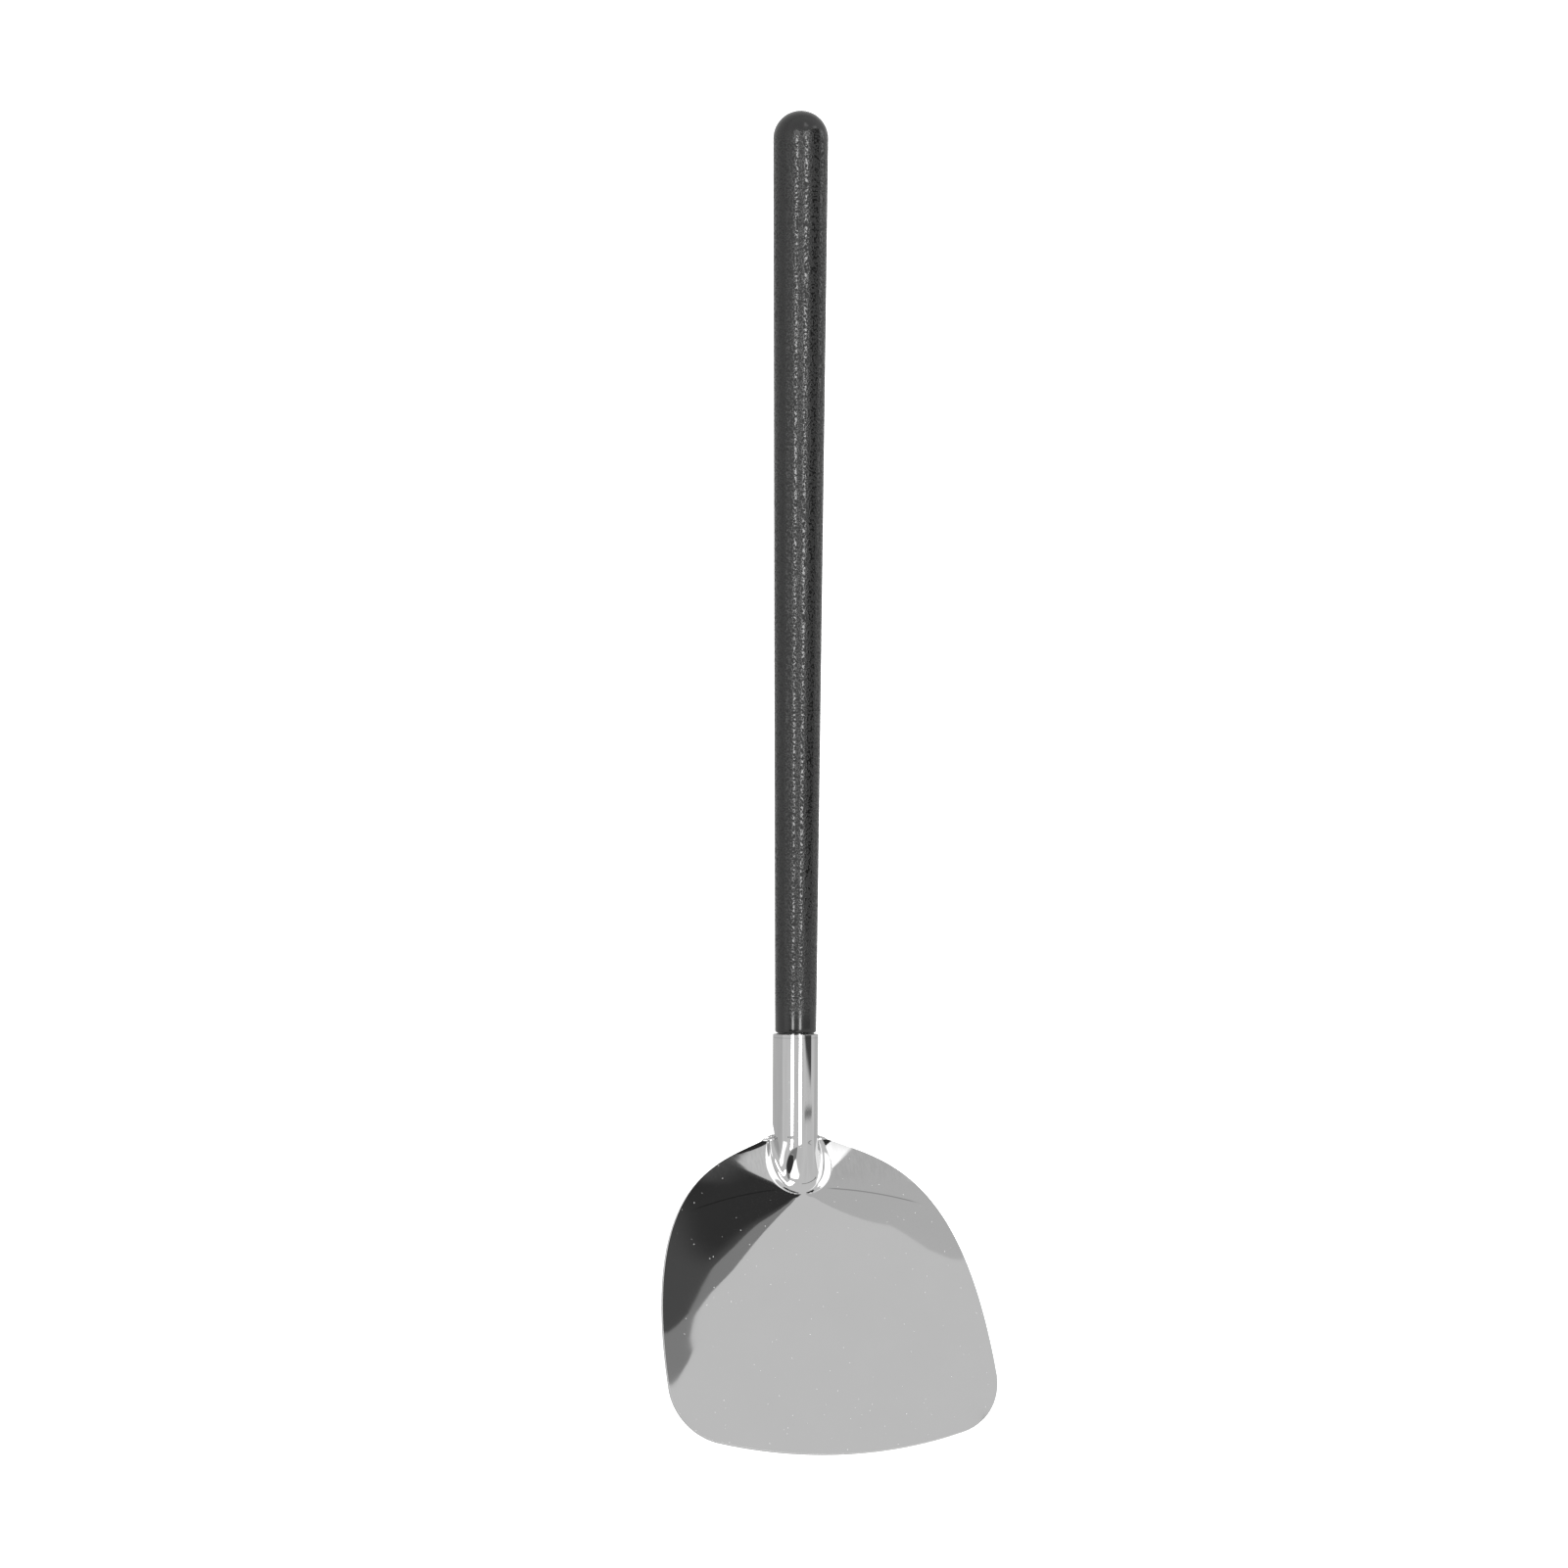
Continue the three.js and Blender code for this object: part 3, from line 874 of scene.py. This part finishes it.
def reflect_only(made, brightness, soft=False):
    """Makes a stage piece a light that only reflections see."""
    made.data.materials.append(glow(made.name, brightness, soft))
    made.visible_camera = made.visible_diffuse = made.visible_shadow = False


def depth_inside(points, corners):
    """How far each point lies inside the outline; below 0 outside it."""
    inside, nearest = np.zeros(len(points), bool), np.full(len(points), np.inf)
    for a, b in zip(corners, np.roll(corners, -1, 0)):
        edge, off = b - a, points - a
        share = np.clip(off @ edge / (edge @ edge), 0, 1)
        nearest = np.minimum(nearest, np.linalg.norm(off - share[:, None] * edge, axis=1))
        crossed = (off[:, 1] < 0) != (points[:, 1] < b[1])
        inside ^= crossed & (off[:, 0] < off[:, 1] * edge[0] / (edge[1] or 1))
    return np.where(inside, nearest, -nearest)


def card(name, brightness, distance, soft, corners):
    """A card at directions from the head; a soft one is a net that fades toward its rim."""
    corners = np.array(corners, float)
    mesh = bpy.data.meshes.new(name)
    places, faces = corners, [tuple(range(len(corners)))]
    if soft:
        (west, south), (east, north) = corners.min(0), corners.max(0)
        sizes = (east - west, north - south)
        across, down = (math.ceil(size / soft * CELLS_PER_RIM) for size in sizes)
        grid = np.meshgrid(
            np.linspace(west, east, across + 1), np.linspace(south, north, down + 1)
        )
        places = np.stack(grid, -1).reshape(-1, 2)
        starts = [
            row * (across + 1) + column for row in range(down) for column in range(across)
        ]
        faces = [(i, i + 1, i + across + 2, i + across + 1) for i in starts]
    points = [tuple(HEAD_CENTRE + sight(*place) * distance) for place in places]
    mesh.from_pydata(points, [], faces)
    if soft:
        cover = mesh.attributes.new("cover", "FLOAT", "POINT")
        cover.data.foreach_set("value", smooth(depth_inside(places, corners) / soft))
    made = bpy.data.objects.new(name, mesh)
    bpy.context.scene.collection.objects.link(made)
    reflect_only(made, brightness, bool(soft))


def beside_handle(azimuth, distance, middle):
    """Place that faces the handle's axis from one side."""
    direction = sight(azimuth, 0)
    turn = Matrix((ALONG.cross(direction), ALONG, direction)).transposed()
    place = Vector((0, middle, AXIS_HEIGHT * MM)) + direction * distance
    return Matrix.Translation(place) @ turn.to_4x4()


def strip_light(name, azimuth, width, brightness):
    data = bpy.data.lights.new(name, "AREA")
    data.shape = "RECTANGLE"
    data.size, data.size_y = width, STRIP_LENGTH
    data.energy = brightness * width * STRIP_LENGTH * math.pi
    lamp = bpy.data.objects.new(name, data)
    bpy.context.scene.collection.objects.link(lamp)
    lamp.matrix_world = beside_handle(azimuth, STRIP_DISTANCE, STRIP_MIDDLE)
    lamp.visible_camera = False


def black_flag():
    """A flag close beside the handle, which darkens its right flank and ends above the blade."""
    deselect()
    bpy.ops.mesh.primitive_plane_add(size=1)
    flag = take_new("black_flag")
    size = Matrix.Diagonal((FLAG_WIDTH, FLAG_HIGH - FLAG_LOW, 1, 1))
    middle = (FLAG_LOW + FLAG_HIGH) / 2
    flag.data.transform(beside_handle(FLAG_AZIMUTH, FLAG_DISTANCE, middle) @ size)
    reflect_only(flag, FLAG_BRIGHTNESS)


def light_tent(brightness):
    """White surroundings, plain white to the camera and dimmer to everything else."""
    world = bpy.data.worlds.new("tent")
    bpy.context.scene.world = world
    graph = Graph(world)
    white = graph.node("ShaderNodeBackground", {}, {"Color": (1, 1, 1, 1), "Strength": 1.0})
    dim = graph.node("ShaderNodeBackground", {}, {"Color": (1, 1, 1, 1), "Strength": brightness})
    seen = graph.node("ShaderNodeLightPath", output="Is Camera Ray")
    graph.node("ShaderNodeOutputWorld", {}, {"Surface": graph.mix(seen, dim, white)})


def white_floor(reflected):
    """A floor of white paper; the steel sees a plainer one under it."""
    deselect()
    bpy.ops.mesh.primitive_plane_add(size=FLOOR_SIZE, location=(0, 0, -FLOOR_GAP))
    floor = take_new("floor")
    paper = Finish(
        "white_paper",
        Base_Color=(0.92, 0.92, 0.92, 1),
        Roughness=0.7,
        Specular_IOR_Level=0.2,
        Emission_Color=(1, 1, 1, 1),
        Emission_Strength=0.9,
    )
    floor.data.materials.append(paper.material)
    floor.visible_glossy = False
    deselect()
    bpy.ops.mesh.primitive_plane_add(
        size=REFLECTED_FLOOR_SIZE, location=(0, 0, -REFLECTED_FLOOR_DEPTH)
    )
    reflect_only(take_new("floor_in_reflections"), reflected)


def photo_camera():
    """Camera straight over the middle, tilted round the handle's axis."""
    data = bpy.data.cameras.new("camera")
    data.sensor_width = SENSOR_WIDTH
    data.lens = SENSOR_WIDTH * CAMERA_DISTANCE / FIELD_WIDTH
    data.clip_start, data.clip_end = CAMERA_RANGE
    camera = bpy.data.objects.new("camera", data)
    bpy.context.scene.collection.objects.link(camera)
    up = ALONG * math.cos(CAMERA_ROLL) - ACROSS * math.sin(CAMERA_ROLL)
    right = ACROSS * math.cos(CAMERA_ROLL) + ALONG * math.sin(CAMERA_ROLL)
    aim = Vector((0, SIGHT_Y, AXIS_HEIGHT * MM)) + ACROSS * SIGHT_RIGHT
    turn = Matrix((right, up, TOWARD)).transposed().to_4x4()
    camera.matrix_world = Matrix.Translation(aim + TOWARD * CAMERA_DISTANCE) @ turn
    bpy.context.scene.camera = camera
    bpy.context.scene.view_settings.view_transform = "Standard"


class LADLE_OT_stage(Operator):
    """Pale floor, soft studio light, and the camera at the photograph's viewing angle"""

    bl_idname = "ladle.stage"
    bl_label = "Studio"

    def execute(self, context):
        settings = context.scene.ladle_stage
        white_floor(settings.floor_light)
        light_tent(settings.tent)
        for strip in STRIPS:
            strip_light(*strip, settings.strips)
        black_flag()
        for values in CARDS:
            card(*values)
        photo_camera()
        return {"FINISHED"}


class LADLE_PT_parts(Panel):
    """Builds the turner's pieces and its studio"""

    bl_idname = "LADLE_PT_parts"
    bl_label = "Ladle turner"
    bl_space_type = "VIEW_3D"
    bl_region_type = "UI"
    bl_category = "Ladle"

    def draw(self, context):
        scene = context.scene
        for operator in OPERATORS:
            self.layout.operator(operator.bl_idname)
        for group in (scene.ladle_head, scene.ladle_handle, scene.ladle_stage):
            column = self.layout.column(align=True)
            for name in group.__annotations__:
                column.prop(group, name)


GROUPS = {
    "ladle_head": LADLE_PG_head,
    "ladle_handle": LADLE_PG_handle,
    "ladle_stage": LADLE_PG_stage,
}
OPERATORS = (LADLE_OT_head, LADLE_OT_handle, LADLE_OT_pin, LADLE_OT_stage)


def register():
    for kind in (*GROUPS.values(), *OPERATORS, LADLE_PT_parts):
        bpy.utils.register_class(kind)
    for name, group in GROUPS.items():
        setattr(bpy.types.Scene, name, PointerProperty(type=group))


def unregister():
    for name in GROUPS:
        delattr(bpy.types.Scene, name)
    for kind in (LADLE_PT_parts, *reversed(OPERATORS), *reversed(GROUPS.values())):
        bpy.utils.unregister_class(kind)


def main():
    register()
    bpy.ops.ladle.head()
    bpy.ops.ladle.handle()
    bpy.ops.ladle.pin()
    bpy.ops.ladle.stage()


if __name__ == "__main__":
    main()
